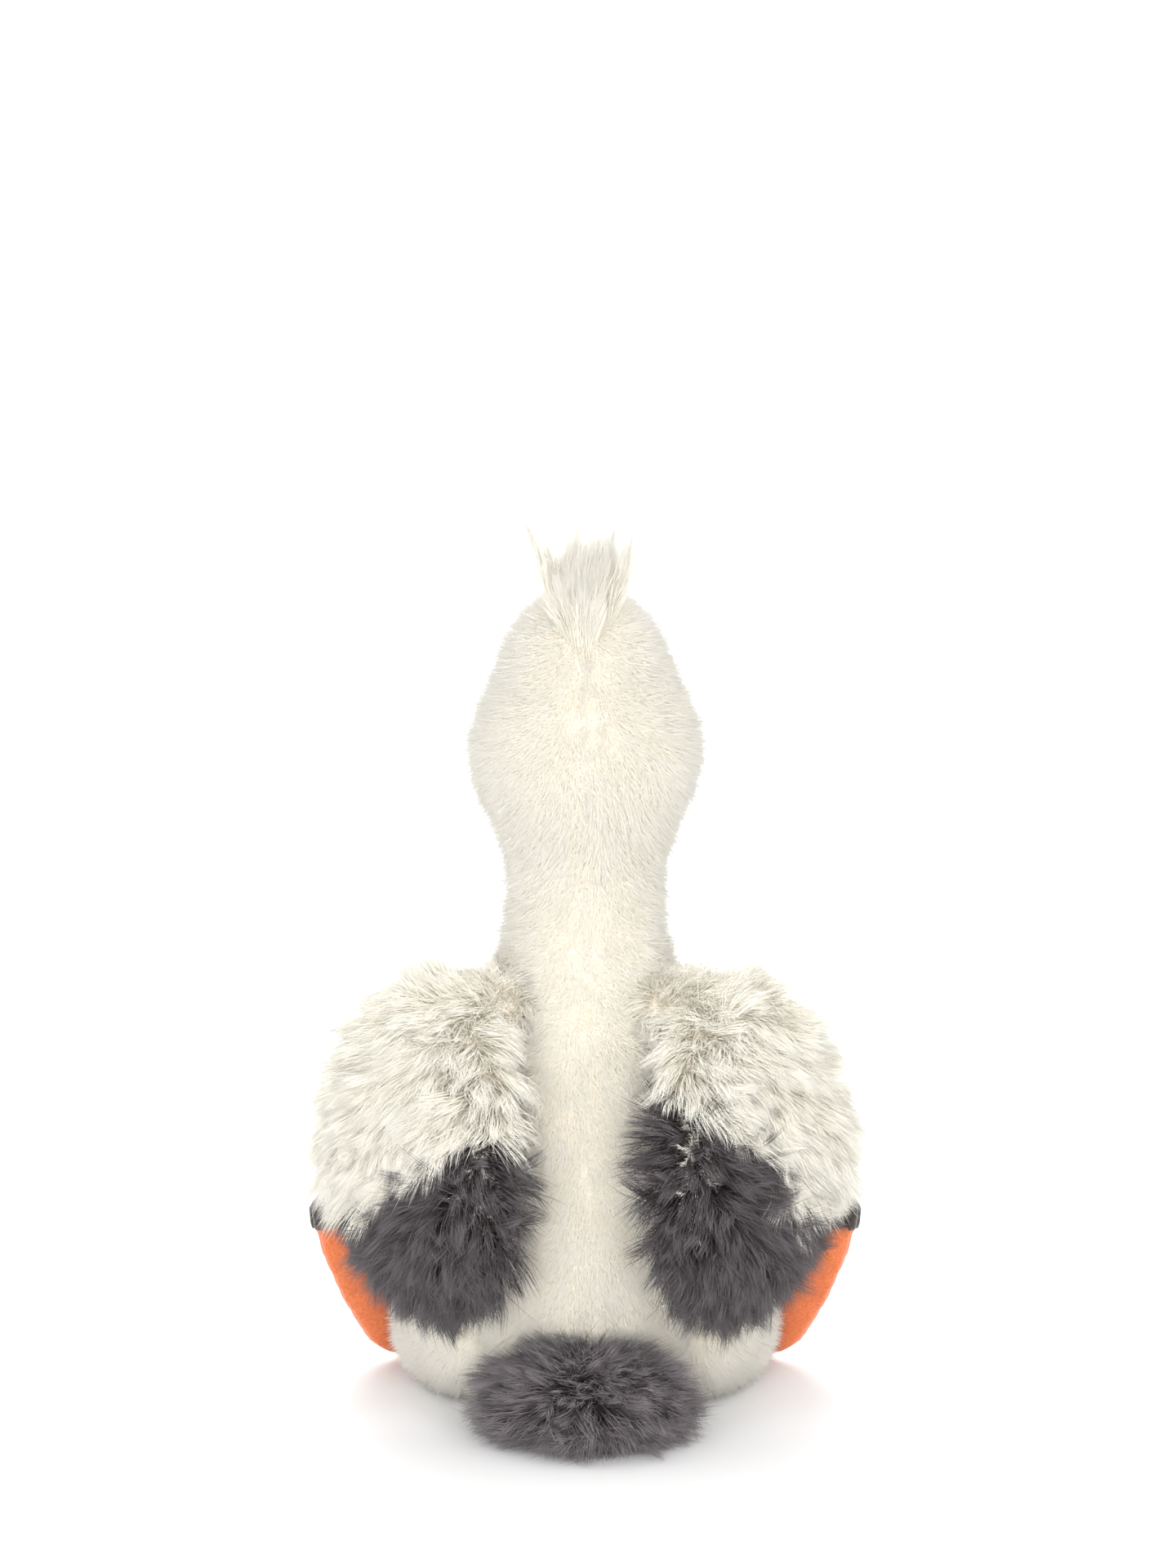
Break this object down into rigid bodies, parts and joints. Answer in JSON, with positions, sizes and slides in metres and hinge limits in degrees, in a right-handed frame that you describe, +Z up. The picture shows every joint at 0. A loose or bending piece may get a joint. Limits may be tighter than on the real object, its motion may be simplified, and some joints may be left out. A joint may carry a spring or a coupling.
{
  "type": "plush bird",
  "caption": "Sitting stuffed long-necked waterbird with a crest tuft, shaggy two-tone wings, a round tail and orange webbed feet, in sewn fabric covers over soft stuffing.",
  "frame": {"origin": "on the floor under the middle of the whole toy's bounding box", "axes": "+Z up; the bird faces -Y, so its back and tail are towards +Y; its left side is +X"},
  "size_m": [0.2202, 0.204, 0.336],
  "materials": {
    "cream_pile": "short brushed pile",
    "cream_shag": "long brushed pile",
    "grey_shag": "long shaggy pile",
    "orange_plush": "fine brushed pile",
    "charcoal_plush": "fine brushed pile",
    "wadding": "matt",
    "pouch_cotton": "matt",
    "pellets": "satin",
    "black_bead": "gloss",
    "washer_plastic": "satin"
  },
  "bodies": {
    "body": {"base_panel": "cream_pile", "belly_panel": "cream_pile", "left_back_panel": "cream_pile", "right_back_panel": "cream_pile", "body_stuffing": "wadding", "pellet_pouch": "pouch_cotton", "pellet_fill": "pellets"},
    "neck": {"left_neck_panel": "cream_pile", "right_neck_panel": "cream_pile", "neck_stuffing": "wadding"},
    "head": {"left_head_panel": "cream_pile", "right_head_panel": "cream_pile", "head_stuffing": "wadding", "crest_tuft": "cream_shag", "bill_upper": "orange_plush", "bill_lower": "orange_plush", "bill_stuffing": "wadding", "left_eye": "black_bead", "right_eye": "black_bead", "left_eye_washer": "washer_plastic", "right_eye_washer": "washer_plastic"},
    "left_wing": {"left_wing_covert": "cream_shag", "left_wing_flight": "grey_shag", "left_wing_lining": "cream_shag", "left_wing_stuffing": "wadding"},
    "right_wing": {"right_wing_covert": "cream_shag", "right_wing_flight": "grey_shag", "right_wing_lining": "cream_shag", "right_wing_stuffing": "wadding"},
    "left_leg": {"left_leg_cover": "cream_pile", "left_leg_stuffing": "wadding"},
    "right_leg": {"right_leg_cover": "cream_pile", "right_leg_stuffing": "wadding"},
    "left_foot": {"left_foot_upper": "orange_plush", "left_foot_sole": "orange_plush", "left_foot_stuffing": "wadding", "left_claws": "charcoal_plush"},
    "right_foot": {"right_foot_upper": "orange_plush", "right_foot_sole": "orange_plush", "right_foot_stuffing": "wadding", "right_claws": "charcoal_plush"},
    "tail": {"tail_top_cover": "grey_shag", "tail_under_cover": "grey_shag", "tail_stuffing": "wadding"}
  },
  "joints": [
    {"name": "neck_bend", "type": "hinge", "parent": "body", "child": "neck", "pos_m": [0, 0, 0.176], "axis": [1, 0, 0], "range_deg": [-15, 25], "stiffness_Nm_per_rad": 0.4},
    {"name": "head_nod", "type": "hinge", "parent": "neck", "child": "head", "pos_m": [0, -0.003, 0.214], "axis": [1, 0, 0], "range_deg": [-15, 20], "stiffness_Nm_per_rad": 0.25},
    {"name": "left_wing_lift", "type": "hinge", "parent": "body", "child": "left_wing", "pos_m": [0.03064, 0.02571, 0.166], "axis": [0.6428, -0.766, 0], "range_deg": [0, 65], "stiffness_Nm_per_rad": 0.02},
    {"name": "right_wing_lift", "type": "hinge", "parent": "body", "child": "right_wing", "pos_m": [-0.03064, 0.02571, 0.166], "axis": [0.6428, 0.766, 0], "range_deg": [0, 65], "stiffness_Nm_per_rad": 0.02},
    {"name": "left_leg_splay", "type": "hinge", "parent": "body", "child": "left_leg", "pos_m": [0.042, 0.014, 0.023], "axis": [0, 0, 1], "range_deg": [0, 20], "stiffness_Nm_per_rad": 0.08},
    {"name": "right_leg_splay", "type": "hinge", "parent": "body", "child": "right_leg", "pos_m": [-0.042, 0.014, 0.023], "axis": [0, 0, -1], "range_deg": [0, 20], "stiffness_Nm_per_rad": 0.08},
    {"name": "left_foot_flop", "type": "hinge", "parent": "left_leg", "child": "left_foot", "pos_m": [0.0661, -0.02774, 0.012], "axis": [0.866, 0.5, 0], "range_deg": [0, 40], "stiffness_Nm_per_rad": 0.04},
    {"name": "right_foot_flop", "type": "hinge", "parent": "right_leg", "child": "right_foot", "pos_m": [-0.0661, -0.02774, 0.012], "axis": [0.866, -0.5, 0], "range_deg": [0, 40], "stiffness_Nm_per_rad": 0.04},
    {"name": "tail_lift", "type": "hinge", "parent": "body", "child": "tail", "pos_m": [0, 0.05, 0.042], "axis": [1, 0, 0], "range_deg": [0, 35], "stiffness_Nm_per_rad": 0.02}
  ]
}
